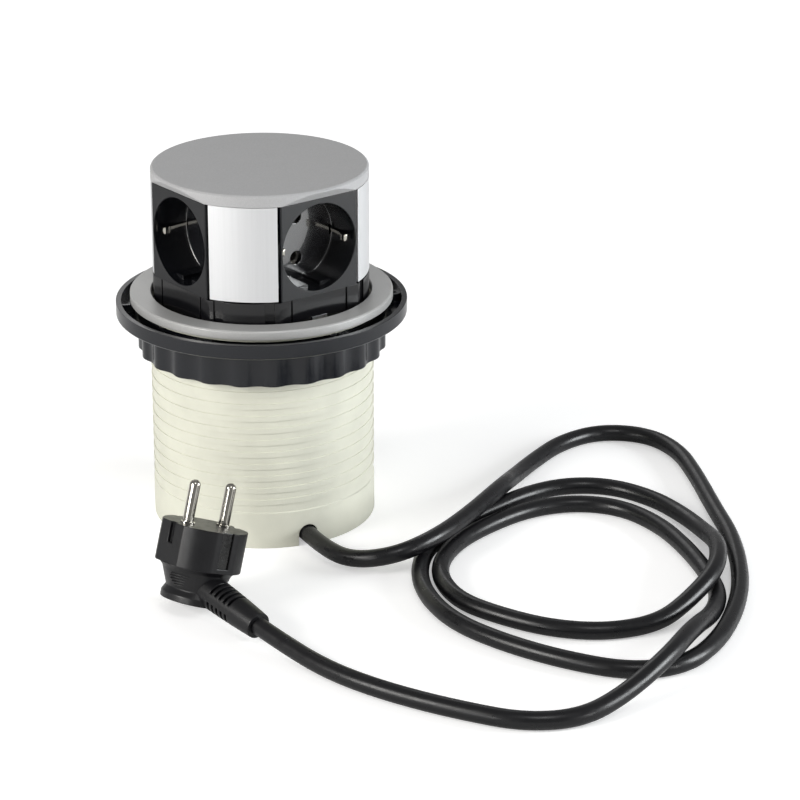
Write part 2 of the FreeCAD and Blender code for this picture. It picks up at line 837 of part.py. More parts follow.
def clamp_nut():
    """The ring nut: its grip is a wave of round lobes with a round hollow between each two."""
    count = int(value("lobe_count"))
    step = 2 * math.pi / count
    start = math.radians(value("lobe_turn") - 90)
    high = value("nut_height")
    low = value(f"{RIM_BOTTOM} - nut_gap - nut_height")

    def point(radius, angle):
        return FreeCAD.Vector(radius * math.cos(angle), radius * math.sin(angle), low)

    crest = value("lobe_crest")
    crease = value("lobe_crease")
    edges = []
    for i in range(2 * count):
        middle = start + i * step / 2
        ends = [point((crest + crease) / 2, middle + sign * step / 4) for sign in (-1, 1)]
        top = point(crest if i % 2 else crease, middle)
        edges.append(Part.Arc(ends[0], top, ends[1]).toShape())
    grip = Part.Face(Part.Wire(edges)).extrude(FreeCAD.Vector(0, 0, high))
    bore = Part.makeCylinder(value("slide_bore"), high, FreeCAD.Vector(0, 0, low))
    return keep(feature("nut", grip.cut(bore)), "clamp_nut")


def clamp_screw_places():
    y = "-clamp_start + clamp_width / 2"
    return [("-clamp_screw_offset", y), ("clamp_screw_offset", y)]


def base_cover():
    """The recessed bottom: a plate on the rails' ends, its rim, the cable slot and bosses."""
    rim_radius = "housing_bore - cover_clearance"
    plate = post("cover_disc", rim_radius, "cover_level", "cover_plate")
    rim_height = "cover_level - cover_lift"
    rim_outside = post("cover_rim_outside", rim_radius, "cover_lift", rim_height)
    rim_inside = post("cover_rim_inside", f"{rim_radius} - cover_wall", "cover_lift", rim_height)
    rim = cut("cover_rim", rim_outside, [rim_inside])
    bosses = []
    holes = []
    hole = "clamp_screw_radius + screw_clearance"
    for i, (x, y) in enumerate(clamp_screw_places()):
        bosses.append(post(f"cover_boss_{i}", "clamp_boss_radius", CABLE_UNDERSIDE, BOSS_HEIGHT, x, y))
        holes.append(post(f"cover_pilot_{i}", hole, CABLE_UNDERSIDE, BOSS_HEIGHT, x, y))
    width = "cable_radius + slot_clearance"
    length = "lead_bend_start + lead_slack + slot_clearance"
    slot = box(
        "lead_slot", f"-({width})", "-lead_bend_start - slot_clearance", "cover_level",
        f"2 * ({width})", length, "cover_plate",
    )
    tunnel = cable_tunnel(
        "cover_tunnel", "entry_clearance", "housing_bore - 2 * cover_wall", "housing_bore"
    )
    whole = fuse("cover_whole", [plate, rim] + bosses)
    cover = cut("cover", whole, holes + [slot, tunnel])
    return keep(turn(cover, -value("entry_turn")), "base_cover")


def cable_clamp():
    """The bar that grips the cable, sunk for its two screws."""
    bar = box(
        "clamp_bar", "-clamp_half_length", "-clamp_start", CLAMP_BOTTOM, "2 * clamp_half_length",
        "clamp_width", "clamp_wall",
    )
    wide = "clamp_screw_head_radius + screw_clearance"
    narrow = "clamp_screw_radius + screw_clearance"
    sinks = []
    for i, (x, y) in enumerate(clamp_screw_places()):
        sinks.append(cone(f"clamp_sink_{i}", wide, narrow, CLAMP_BOTTOM, "clamp_screw_head", x, y))
        sinks.append(post(f"clamp_hole_{i}", narrow, CLAMP_BOTTOM, "clamp_wall", x, y))
    clamp = cut("clamp", bar, sinks)
    return keep(turn(clamp, -value("entry_turn")), "cable_clamp")


def clamp_screws():
    screws = []
    for i, (x, y) in enumerate(clamp_screw_places()):
        head = cone(
            f"sunk_head_{i}", "clamp_screw_head_radius", "clamp_screw_radius", CLAMP_BOTTOM,
            "clamp_screw_head", x, y,
        )
        length = f"clamp_wall + {BOSS_HEIGHT}"
        shank = post(f"sunk_shank_{i}", "clamp_screw_radius", CLAMP_BOTTOM, length, x, y)
        screws.append(fuse(f"sunk_screw_{i}", [head, shank]))
    pair = group_of("sunk_screws", screws)
    return keep(turn(pair, -value("entry_turn")), "clamp_screws")


def pipe(edges, radius):
    """A round solid along a path of tangent edges."""
    start = edges[0].firstVertex().Point
    path = Part.Wire(edges)
    heading = edges[0].tangentAt(edges[0].FirstParameter)
    ring = Part.Wire(Part.Circle(start, heading, radius).toShape())
    return path.makePipeShell([ring], True, False)


def inner_lead():
    """The cable inside the housing: in along the floor, round one bend, up to the block."""
    z = value("entry_height")
    bend = value("lead_bend")
    start = -value("lead_bend_start")
    half_turn = math.radians(HALF_QUARTER)
    along = start + bend * math.sin(half_turn)
    rise = bend * (1 - math.cos(half_turn))
    first = FreeCAD.Vector(0, -value("lead_start"), z)
    corner_in = FreeCAD.Vector(0, start, z)
    middle = FreeCAD.Vector(0, along, z + rise)
    corner_out = FreeCAD.Vector(0, start + bend, z + bend)
    last = FreeCAD.Vector(0, start + bend, value(BLOCK_BOTTOM))
    edges = [
        Part.LineSegment(first, corner_in).toShape(),
        Part.Arc(corner_in, middle, corner_out).toShape(),
        Part.LineSegment(corner_out, last).toShape(),
    ]
    lead = feature("lead", pipe(edges, value("cable_radius")))
    return keep(turn(lead, -value("entry_turn")), "inner_lead")


# The cord's way from the mouth of the housing to the plug: across, along, and how high it is
# lifted off the table
CORD_POINTS = [
    (-10.9, -47.3, 1.4),
    (-15.2, -66.0, 1.4),
    (-14.0, -84.5, 1.6),
    (-3.0, -99.5, 5.7),
    (17.0, -102.0, 8.9),
    (46.0, -91.0, 8.9),
    (80.0, -74.0, 8.9),
    (103.0, -56.0, 2.1),
    (126.0, -43.0, 0.0),
    (151.0, -33.5, 0.0),
    (175.0, -34.5, 0.0),
    (190.5, -52.0, 0.0),
    (188.5, -76.5, 0.0),
    (173.5, -105.0, 0.0),
    (155.0, -136.0, 0.0),
    (137.0, -168.0, 0.0),
    (110.0, -202.0, 0.0),
    (84.0, -225.0, 0.0),
    (58.0, -241.5, 0.0),
    (33.0, -249.5, 0.0),
    (11.0, -240.5, 0.0),
    (-3.5, -215.0, 0.0),
    (-12.5, -187.0, 0.0),
    (-16.0, -160.0, 0.0),
    (-10.5, -135.0, 0.0),
    (1.0, -113.0, 0.0),
    (19.0, -94.0, 0.0),
    (43.0, -82.0, 0.0),
    (69.0, -76.2, 0.0),
    (95.0, -72.0, 0.0),
    (117.0, -74.5, 0.0),
    (134.0, -88.5, 0.0),
    (140.0, -112.0, 0.0),
    (137.0, -136.0, 0.3),
    (128.0, -160.0, 2.6),
    (114.0, -183.0, 8.9),
    (93.5, -203.0, 9.3),
    (71.5, -209.5, 3.6),
    (51.0, -213.0, 0.0),
    (28.0, -206.0, 0.0),
    (12.0, -189.0, 0.0),
    (3.0, -166.0, 0.0),
    (-1.0, -144.0, 0.0),
    (6.0, -122.0, 0.0),
    (19.0, -106.0, 0.0),
    (38.0, -94.5, 0.0),
    (60.0, -88.5, 0.0),
    (86.0, -86.0, 0.0),
    (108.0, -93.0, 0.0),
    (121.5, -111.0, 0.0),
    (121.5, -137.0, 0.0),
    (113.5, -163.0, 0.0),
    (103.0, -187.0, 0.0),
    (91.5, -207.5, 0.0),
    (73.0, -223.0, 1.6),
    (47.0, -238.5, 8.9),
    (20.0, -252.5, 8.9),
    (-8.0, -257.5, 2.1),
    (-32.0, -259.5, 0.0),
    (-52.5, -248.0, 0.0),
    (-65.0, -226.0, 0.0),
    (-75.0, -203.5, 0.0),
    (-82.0, -181.5, 0.0),
    (-85.5, -161.0, 0.0),
    (-86.9, -139.5, 1.1),
    (-87.9, -117.7, 3.5),
]


# The share of the shorter run that an arc may take at each end
ARC_SHARE = 0.45


def cord_corners():
    """The cord's points at their heights, shifted so that the first is at the inner lead's start."""
    lying = value("cable_radius")
    corners = [FreeCAD.Vector(x, y, lying + lift) for x, y, lift in CORD_POINTS]
    entry = FreeCAD.Rotation(UP, -value("entry_turn"))
    mouth = entry.multVec(FreeCAD.Vector(0, -value("lead_start"), value("entry_height")))
    shift = mouth - corners[0]
    shift.z = 0
    return [corner + shift for corner in corners]


def cord_edges(corners, radii):
    """Straight runs joined by arcs, each arc as large as its two runs allow."""
    edges = []
    start = corners[0]
    for before, corner, after in zip(corners, corners[1:], corners[2:]):
        run_in = (corner - before).Length
        run_out = (after - corner).Length
        heading_in = (corner - before).normalize()
        heading_out = (after - corner).normalize()
        half_turn = heading_in.getAngle(heading_out) / 2
        reach = ARC_SHARE * min(run_in, run_out)
        radius = reach / math.tan(half_turn)
        radii.append(radius)
        arc_start = corner - heading_in * reach
        arc_end = corner + heading_out * reach
        inward = (heading_out - heading_in).normalize()
        middle = corner + inward * (radius / math.cos(half_turn) - radius)
        edges.append(Part.LineSegment(start, arc_start).toShape())
        edges.append(Part.Arc(arc_start, middle, arc_end).toShape())
        start = arc_end
    edges.append(Part.LineSegment(start, corners[-1]).toShape())
    return edges


def power_cord():
    radii = []
    edges = cord_edges(cord_corners(), radii)
    radius = value("cable_radius")
    tube = pipe(edges, radius)
    length = sum(edge.Length for edge in edges)
    ratio = tube.Volume / (math.pi * radius**2 * length)
    print("cord length", round(length, 1), "least bend", round(min(radii), 1), "ratio", round(ratio, 4))
    return keep(feature("cord", tube), "power_cord")


# The plug's directions as it lies: along the line of its pins, and the way they point
PIN_LINE = FreeCAD.Vector(0.944, -0.031, -0.328)
PINS_UP = FreeCAD.Vector(0.327, 0.098, 0.94)


def relief_placement():
    """Where the strain relief sits on the plug: its axis leans from up to backwards and aside."""
    lean = FreeCAD.Rotation(FreeCAD.Vector(1, 0, 0), 90 + value("relief_tilt"))
    aside = FreeCAD.Rotation(UP, value("relief_yaw"))
    return FreeCAD.Placement(FreeCAD.Vector(0, 0, -value("relief_axis")), aside * lean)


def plug_frame():
    """The placement that lays the plug down with its strain relief's end at the cord's end."""
    up = FreeCAD.Vector(PINS_UP).normalize()
    back = up.cross(PIN_LINE).normalize()
    across = back.cross(up)
    lying = FreeCAD.Rotation(across, back, up, "ZXY")
    end = relief_placement().multVec(FreeCAD.Vector(0, 0, value("relief_length + small_gap")))
    return FreeCAD.Placement(cord_corners()[-1] - lying.multVec(end), lying)


def oval(half_x, half_y, z):
    """An oval wire across the plug's own vertical axis."""
    centre = FreeCAD.Vector(0, 0, z)
    along_x = FreeCAD.Vector(half_x, 0, z)
    along_y = FreeCAD.Vector(0, half_y, z)
    if half_x >= half_y:
        return Part.Wire(Part.Ellipse(along_x, along_y, centre).toShape())
    return Part.Wire(Part.Ellipse(along_y, FreeCAD.Vector(-half_x, 0, z), centre).toShape())


def plug_outside():
    """The moulded body: a round block with flats and slots, a waist and a finger flange."""
    block = value("plug_block")
    head = Part.makeCylinder(value("plug_radius"), block, FreeCAD.Vector(0, 0, -block))
    guide = value("plug_guide_flat")
    earth = value("plug_earth_flat")
    flats = Part.makeBox(2 * guide, 2 * earth, block, FreeCAD.Vector(-guide, -earth, -block))
    head = head.common(flats)
    neck = -value("plug_neck")
    flange_top = -value("plug_length") + value("plug_flange")
    half_x = value("neck_half_width")
    half_y = value("neck_half_depth")
    flange_x = value("plug_flange_half_width")
    flange_y = value("plug_flange_half_depth")
    bevel = value("plug_block_bevel")
    shoulder = Part.makeLoft(
        [oval(guide, guide, -block), oval(guide - bevel, guide - bevel, -block - bevel)], True
    )
    waist = Part.makeLoft(
        [oval(guide - bevel, guide - bevel, -block - bevel), oval(half_x, half_y, neck)], True
    )
    step = Part.makeLoft([oval(half_x, half_y, neck), oval(flange_x, flange_y, flange_top)], True)
    flange = Part.Face(oval(flange_x, flange_y, flange_top)).extrude(
        FreeCAD.Vector(0, 0, -value("plug_flange"))
    )
    body = head.fuse([shoulder, waist, step, flange])
    slot = value("earth_slot_width")
    deep = value("earth_slot_depth")
    end = value("earth_slot_end")
    narrow = value("guide_slot_width")
    short = value("guide_slot_length")
    for sign in (-1, 1):
        y = sign * (earth - deep / 2) - deep / 2
        body = body.cut(Part.makeBox(slot, deep, end, FreeCAD.Vector(-slot / 2, y, -end)))
        x = sign * (guide - deep / 2) - deep / 2
        body = body.cut(Part.makeBox(deep, narrow, short, FreeCAD.Vector(x, -narrow / 2, -short)))
    return body


def plug():
    frame = plug_frame()
    body = plug_outside()
    pins = []
    radius = value("plug_pin_radius")
    collar = value("plug_pin_collar")
    for sign in (-1, 1):
        x = sign * value("pin_pitch") / 2
        straight = value("plug_pin_length") - radius
        pin = Part.makeCylinder(radius, straight, FreeCAD.Vector(x, 0, 0))
        tip = Part.makeSphere(radius, FreeCAD.Vector(x, 0, straight))
        base = Part.makeCylinder(collar, value("plug_pin_collar_height"), FreeCAD.Vector(x, 0, 0))
        pins.append(pin.fuse([tip, base]).removeSplitter())
    strips = []
    wide = value("earth_slot_width") - 2 * value("small_gap")
    thick = value("strip_wall")
    deep = value("earth_slot_depth")
    tall = value("earth_slot_end")
    for sign in (-1, 1):
        y = sign * (value("plug_earth_flat") - deep + thick / 2) - thick / 2
        strips.append(Part.makeBox(wide, thick, tall, FreeCAD.Vector(-wide / 2, y, -tall)))
    shapes = {
        "plug_body": body,
        "plug_pins": Part.makeCompound(pins),
        "plug_earth_strips": Part.makeCompound(strips),
        "plug_strain_relief": strain_relief(body),
    }
    for label, shape in shapes.items():
        piece = feature(label + "_shape", shape)
        piece.Placement = frame
        keep(piece, label)


def strain_relief(body):
    """The ribbed tail of the plug, tapered, with two rows of slots, bored for the cable."""
    length = value("relief_length")
    wide = value("relief_half_width")
    high = value("relief_half_height")
    tip = value("relief_tip_radius")
    straight = value("relief_straight")
    outline = [oval(wide, high, 0), oval(wide, high, straight), oval(tip, tip, length)]
    tail = Part.makeLoft(outline, True)
    core = Part.makeCylinder(value("relief_core"), length)
    web = value("relief_web")
    for row in range(int(value("relief_slot_count"))):
        along = value("relief_slot_start") + row * value("relief_slot_pitch")
        for low in (-high, web):
            corner = FreeCAD.Vector(-wide, low, along)
            slot = Part.makeBox(2 * wide, high - web, value("relief_slot"), corner)
            tail = tail.cut(slot.cut(core))
    tail.Placement = relief_placement()
    return tail.cut(body)


def check_and_write():
    """Stops on any failed object, then writes each sub-part to a file of its own."""
    doc.recompute()
    for thing in doc.Objects:
        if "Invalid" in thing.State or "Error" in thing.State:
            raise RuntimeError(f"{thing.Name} failed: {thing.State}")
    os.makedirs("parts", exist_ok=True)
    for thing in kept:
        shape = thing.Shape
        if shape.isNull() or not shape.isValid() or not shape.Solids:
            raise RuntimeError(f"{thing.Label} has no valid solid")
        shape.exportStep(f"parts/{thing.Label}.step")
        print(thing.Label, len(shape.Solids), round(shape.Volume, 1))


head_cap()
corner_panels()
for side_name, side_degrees in SIDES.items():
    socket_insert(side_name, side_degrees)
    earth_clip(side_name, side_degrees)
    contact_sleeves(side_name, side_degrees)
bus_bars_and_wires()
terminal_block()
head_frame()
head_screws()
detent_springs()
housing_tube()
trim_ring()
ring_screws()
pressure_ring()
clamp_nut()
base_cover()
cable_clamp()
clamp_screws()
inner_lead()
power_cord()
plug()
check_and_write()
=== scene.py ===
import json
import math

import bmesh
import bpy
from mathutils import Matrix, Vector

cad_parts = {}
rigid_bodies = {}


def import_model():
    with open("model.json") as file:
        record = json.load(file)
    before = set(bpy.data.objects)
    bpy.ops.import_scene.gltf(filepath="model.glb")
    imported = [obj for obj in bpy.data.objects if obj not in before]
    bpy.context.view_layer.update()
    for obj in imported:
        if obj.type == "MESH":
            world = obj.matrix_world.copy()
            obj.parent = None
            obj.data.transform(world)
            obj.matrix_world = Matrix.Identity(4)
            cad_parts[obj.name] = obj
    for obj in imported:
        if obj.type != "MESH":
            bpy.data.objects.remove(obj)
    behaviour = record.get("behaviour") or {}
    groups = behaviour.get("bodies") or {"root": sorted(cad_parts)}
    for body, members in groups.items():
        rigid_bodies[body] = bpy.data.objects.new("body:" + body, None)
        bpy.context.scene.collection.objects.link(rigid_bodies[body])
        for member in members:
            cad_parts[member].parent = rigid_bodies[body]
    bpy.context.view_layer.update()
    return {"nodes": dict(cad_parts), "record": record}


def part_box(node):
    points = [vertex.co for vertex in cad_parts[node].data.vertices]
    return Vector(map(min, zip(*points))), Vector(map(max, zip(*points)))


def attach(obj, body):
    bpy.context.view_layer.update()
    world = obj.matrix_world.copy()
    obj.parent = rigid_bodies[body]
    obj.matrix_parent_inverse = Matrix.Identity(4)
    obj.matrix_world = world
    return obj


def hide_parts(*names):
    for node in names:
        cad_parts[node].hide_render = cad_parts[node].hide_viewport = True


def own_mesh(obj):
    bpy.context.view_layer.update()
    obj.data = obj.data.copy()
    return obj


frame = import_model()
nodes = frame["nodes"]
record = frame["record"]
MM = 0.001

# Turns about the head's axis from the front to the other three sides, in degrees
OTHER_SIDES = {"right": 90, "back": 180, "left": 270}


# Camera at the photograph's viewing angle

CAMERA_PLACE = (-0.78953, -1.11098, 0.58273)
CAMERA_TURN = (68.6937, -0.0218, -38.0119)
CAMERA_LENS = 144.2
SENSOR_WIDTH = 36

bpy.ops.object.select_all(action="DESELECT")
bpy.ops.object.camera_add(
    location=CAMERA_PLACE,
    rotation=[math.radians(angle) for angle in CAMERA_TURN],
)
camera = bpy.context.active_object
camera.name = "camera"
camera.data.lens = CAMERA_LENS
camera.data.sensor_width = SENSOR_WIDTH
bpy.context.scene.camera = camera


# Finishes

# The part of a noise's range that nearly all of its values lie in
NOISE_LOW, NOISE_HIGH = 0.3, 0.7

# Distances from the head's axis, in metres: where a socket's flat face begins, and where the
# floor of a well gives way to its walls
FACE_BEGINS = (0.0435, 0.0440)
FLOOR_ENDS = (0.0268, 0.0280)


class Finish:
    """A material under construction, patterned on the place on the object."""

    def __init__(self, name, color, roughness, metallic=0.0, specular=0.5):
        self.material = bpy.data.materials.new(name)
        self.material.use_nodes = True
        self.tree = self.material.node_tree
        self.shader = self.tree.nodes["Principled BSDF"]
        self.color = color
        self.shader.inputs["Base Color"].default_value = (*color, 1)
        self.shader.inputs["Roughness"].default_value = roughness
        self.shader.inputs["Metallic"].default_value = metallic
        self.shader.inputs["Specular IOR Level"].default_value = specular
        self.place = self.add("ShaderNodeTexCoord").outputs["Object"]

    def add(self, kind, **settings):
        node = self.tree.nodes.new(kind)
        for name, value in settings.items():
            setattr(node, name, value)
        return node

    def link(self, output, node, socket):
        self.tree.links.new(output, node.inputs[socket])

    def noise(self, scale, detail=3.0, stretch=(1, 1, 1)):
        mapping = self.add("ShaderNodeMapping")
        mapping.inputs["Scale"].default_value = stretch
        self.link(self.place, mapping, "Vector")
        texture = self.add("ShaderNodeTexNoise")
        texture.inputs["Scale"].default_value = scale
        texture.inputs["Detail"].default_value = detail
        self.link(mapping.outputs["Vector"], texture, "Vector")
        return texture.outputs["Fac"]

    def spread(self, value, low, high, start=NOISE_LOW, end=NOISE_HIGH):
        """A value running from start to end, brought to run from low to high."""
        node = self.add("ShaderNodeMapRange")
        node.inputs["From Min"].default_value = start
        node.inputs["From Max"].default_value = end
        node.inputs["To Min"].default_value = low
        node.inputs["To Max"].default_value = high
        self.link(value, node, "Value")
        return node.outputs["Result"]

    def tint(self, value, darker, lighter):
        """The colour wanders between a darker and a lighter share of itself."""
        ramp = self.add("ShaderNodeValToRGB")
        ends = ramp.color_ramp.elements
        ends[0].position, ends[1].position = NOISE_LOW, NOISE_HIGH
        ends[0].color = (*[c * darker for c in self.color], 1)
        ends[1].color = (*[min(1, c * lighter) for c in self.color], 1)
        self.link(value, ramp, "Fac")
        self.link(ramp.outputs["Color"], self.shader, "Base Color")

    def rough(self, value, low, high, start=NOISE_LOW, end=NOISE_HIGH):
        self.link(self.spread(value, low, high, start, end), self.shader, "Roughness")

    def bump(self, value, height):
        node = self.add("ShaderNodeBump")
        node.inputs["Distance"].default_value = height * MM
        self.link(value, node, "Height")
        self.link(node.outputs["Normal"], self.shader, "Normal")


def blasted_aluminium(name, color, roughness, metallic=0.35, specular=0.5):
    """Fine-blasted and anodised: an even grain with faint clouding."""
    finish = Finish(name, color, roughness, metallic, specular)
    grain = finish.noise(2400, 2)
    finish.tint(grain, 0.93, 1.06)
    finish.rough(finish.noise(90), roughness - 0.03, roughness + 0.03)
    finish.bump(grain, 0.015)
    return finish.material


def brushed_aluminium(name, color, roughness):
    """Brushed upright, with a pale anodised skin."""
    finish = Finish(name, color, roughness, metallic=0.6)
    lines = finish.noise(1100, stretch=(1, 1, 0.02))
    finish.tint(lines, 0.975, 1.015)
    finish.rough(lines, roughness - 0.04, roughness + 0.05)
    finish.bump(lines, 0.006)
    return finish.material


def moulded(name, color, roughness, grain, scale=1500, specular=0.5):
    """Moulded plastic: spark grain and slight patchiness."""
    finish = Finish(name, color, roughness, specular=specular)
    finish.tint(finish.noise(60), 0.95, 1.05)
    finish.rough(finish.noise(200), roughness - 0.03, roughness + 0.05)
    finish.bump(finish.noise(scale), grain)
    return finish.material


def farther_out(finish):
    """The place's distance from the head's axis along X or Y, whichever is larger."""
    parts = finish.add("ShaderNodeSeparateXYZ")
    finish.link(finish.place, parts, "Vector")
    farther = finish.add("ShaderNodeMath", operation="MAXIMUM")
    for socket, axis in enumerate("XY"):
        away = finish.add("ShaderNodeMath", operation="ABSOLUTE")
        finish.link(parts.outputs[axis], away, 0)
        finish.link(away.outputs[0], farther, socket)
    return farther.outputs[0]


def socket_plastic(name, color):
    """Eroded on the flat faces, glossy in the wells and polished on their floors."""
    finish = Finish(name, color, 0.3)
    finish.tint(finish.noise(80), 0.92, 1.08)
    reach = farther_out(finish)
    finish.rough(reach, 0.24, 0.5, *FACE_BEGINS)
    shine = finish.spread(reach, 1.0, 0.5, *FLOOR_ENDS)
    finish.link(shine, finish.shader, "Specular IOR Level")
    polish = finish.spread(reach, 1.0, 0.0, *FLOOR_ENDS)
    finish.link(polish, finish.shader, "Coat Weight")
    finish.shader.inputs["Coat Roughness"].default_value = 0.06
    finish.shader.inputs["Coat IOR"].default_value = 2.0
    finish.bump(finish.noise(1700), 0.004)
    return finish.material


def plated(name, color, roughness):
    """Plated or turned metal with faint streaks."""
    finish = Finish(name, color, roughness, metallic=1.0)
    streaks = finish.noise(700, stretch=(1, 1, 0.08))
    finish.tint(streaks, 0.92, 1.04)
    finish.rough(finish.noise(400), roughness - 0.04, roughness + 0.06)
    finish.bump(streaks, 0.001)
    return finish.material


def sheath(name, color, roughness, specular=0.5):
    """Cable sheath: smooth, a little wavy, dulled in patches."""
    finish = Finish(name, color, roughness, specular=specular)
    finish.tint(finish.noise(120), 0.9, 1.12)
    finish.rough(finish.noise(260), roughness - 0.05, roughness + 0.07)
    finish.bump(finish.noise(1400, 2), 0.01)
    return finish.material


# Each slot's colour and roughness, and after these a moulding's grain, in mm
FINISHES = {
    "cap_aluminium": blasted_aluminium(
        "cap_aluminium", (0.41, 0.41, 0.415), 0.6, metallic=0.12, specular=0.12
    ),
    "panel_aluminium": brushed_aluminium("panel_aluminium", (0.7, 0.705, 0.715), 0.4),
    "ring_aluminium": blasted_aluminium("ring_aluminium", (0.44, 0.44, 0.435), 0.42),
    "socket_black": socket_plastic("socket_black", (0.004, 0.0045, 0.006)),
    "frame_black": moulded("frame_black", (0.004, 0.004, 0.005), 0.14, 0.003),
    "nut_black": moulded("nut_black", (0.0035, 0.0045, 0.0075), 0.16, 0.002),
    "housing_ivory": moulded("housing_ivory", (0.65, 0.65, 0.555), 0.5, 0.06, scale=1300),
    "nickel": plated("nickel", (0.5, 0.48, 0.43), 0.09),
    "contact_brass": plated("contact_brass", (0.5, 0.48, 0.43), 0.3),
    "steel": plated("steel", (0.55, 0.55, 0.57), 0.3),
    "wire_brown": sheath("wire_brown", (0.16, 0.06, 0.03), 0.4),
    "wire_blue": sheath("wire_blue", (0.04, 0.10, 0.36), 0.4),
    "wire_green": sheath("wire_green", (0.20, 0.40, 0.06), 0.4),
    "cable_black": sheath("cable_black", (0.006, 0.006, 0.007), 0.3, specular=0.36),
    "plug_black": moulded(
        "plug_black", (0.005, 0.005, 0.006), 0.36, 0.03, scale=1300, specular=0.38
    ),
}

SLOTS = {part["node"]: part["material_slot"] for part in record["subparts"]}
BODIES = {
    node: body for body, names in record["behaviour"]["bodies"].items() for node in names
}

for node, slot_name in SLOTS.items():
    nodes[node].data.materials.clear()
    nodes[node].data.materials.append(FINISHES[slot_name])


# Ways of working that the pieces share

# Corners nearer than this, in mm, are one corner
MERGE = 0.002
# Neighbouring faces within this angle, in degrees, are one flat face
FLAT = 0.3


def start_afresh():
    bpy.ops.object.select_all(action="DESELECT")


def pick(piece):
    """Leaves the piece as the only selected object, and active."""
    start_afresh()
    piece.select_set(True)
    bpy.context.view_layer.objects.active = piece


def edit(piece):
    """Enters edit mode with everything selected."""
    bpy.context.view_layer.objects.active = piece
    bpy.ops.object.mode_set(mode="EDIT")
    bpy.ops.mesh.select_all(action="SELECT")


def leave():
    bpy.ops.object.mode_set(mode="OBJECT")


def choose(piece, kind, test):
    """In edit mode, selects the vertices or faces whose middle, in mm, passes the test."""
    bpy.ops.mesh.select_mode(type=kind)
    bpy.ops.mesh.select_all(action="DESELECT")
    mesh = bmesh.from_edit_mesh(piece.data)
    for thing in {"VERT": mesh.verts, "FACE": mesh.faces}[kind]:
        corners = [thing] if kind == "VERT" else list(thing.verts)
        middle = sum((corner.co for corner in corners), Vector()) / len(corners) / MM
        if test(middle):
            thing.select_set(True)
    bmesh.update_edit_mesh(piece.data)


def settle(piece):
    """Puts the object's place, turn and size into its mesh."""
    pick(piece)
    bpy.ops.object.transform_apply(location=True, rotation=True, scale=True)


def apply_modifiers(piece):
    bpy.context.view_layer.objects.active = piece
    for modifier in list(piece.modifiers):
        bpy.ops.object.modifier_apply(modifier=modifier.name)


def smooth(piece, degrees=32):
    """Smooth shading with edges sharper than the angle kept, and large flats kept flat."""
    pick(piece)
    bpy.ops.object.shade_smooth_by_angle(angle=math.radians(degrees))
    even = piece.modifiers.new("flat_faces_stay_flat", "WEIGHTED_NORMAL")
    even.keep_sharp = True
    apply_modifiers(piece)


def round_edges(piece, width, segments=2, degrees=30):
    """Rounds the edges sharper than the angle by a width in mm."""
    bevel = piece.modifiers.new("round_edges", "BEVEL")
    bevel.width = width * MM
    bevel.segments = segments
    bevel.limit_method = "ANGLE"
    bevel.angle_limit = math.radians(degrees)
    bevel.use_clamp_overlap = False
    apply_modifiers(piece)


def duplicate(source, name):
    """A copy with its own mesh."""
    pick(source)
    bpy.ops.object.duplicate()
    piece = bpy.context.active_object
    piece.name = name
    return piece


def copy_turned(piece, name, degrees):
    """A copy turned about the head's axis."""
    copy = duplicate(piece, name)
    copy.rotation_euler = (0, 0, math.radians(degrees))
    settle(copy)
    return copy


def merged_copy(node, name):
    """A copy of a CAD node with its loose triangles joined into clean faces."""
    piece = duplicate(nodes[node], name)
    bpy.ops.object.parent_clear(type="CLEAR_KEEP_TRANSFORM")
    for key in list(piece.keys()):
        if key.startswith("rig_"):
            del piece[key]
    edit(piece)
    bpy.ops.mesh.remove_doubles(threshold=MERGE * MM)
    bpy.ops.mesh.dissolve_limited(angle_limit=math.radians(FLAT))
    leave()
    settle(piece)
    piece.rotation_mode = "XYZ"
    return piece


def add_on(piece, node):
    """Gives a finished piece the material, the body and the slot of a node."""
    piece.data.materials.clear()
    piece.data.materials.append(FINISHES[SLOTS[node]])
    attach(piece, BODIES[node])
    return piece


def hand_over(piece, node):
    """Puts a finished piece in the place of the node it stands for."""
    add_on(piece, node)
    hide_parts(node)
    return piece


def rounded(node, name, width, segments=2, degrees=30):
    """The node's shape with its edges rounded as moulding or deburring leaves them."""
    piece = merged_copy(node, name)
    round_edges(piece, width, segments, degrees)
    smooth(piece, degrees)
    return piece


def dress(node, name, width, segments=2, degrees=30):
    """A rounded copy of a node, in the node's place."""
    return hand_over(rounded(node, name, width, segments, degrees), node)


def on_four_sides(front, word, node):
    """Copies the front piece to the other sides, and puts all four in their nodes' places."""
    pieces = {"front": front}
    for side, degrees in OTHER_SIDES.items():
        pieces[side] = copy_turned(front, f"{word}_{side}", degrees)
    for side, piece in pieces.items():
        hand_over(piece, f"{node}_{side}")


# The cord: its radius and the points of its way, in mm, from the housing's mouth to the plug

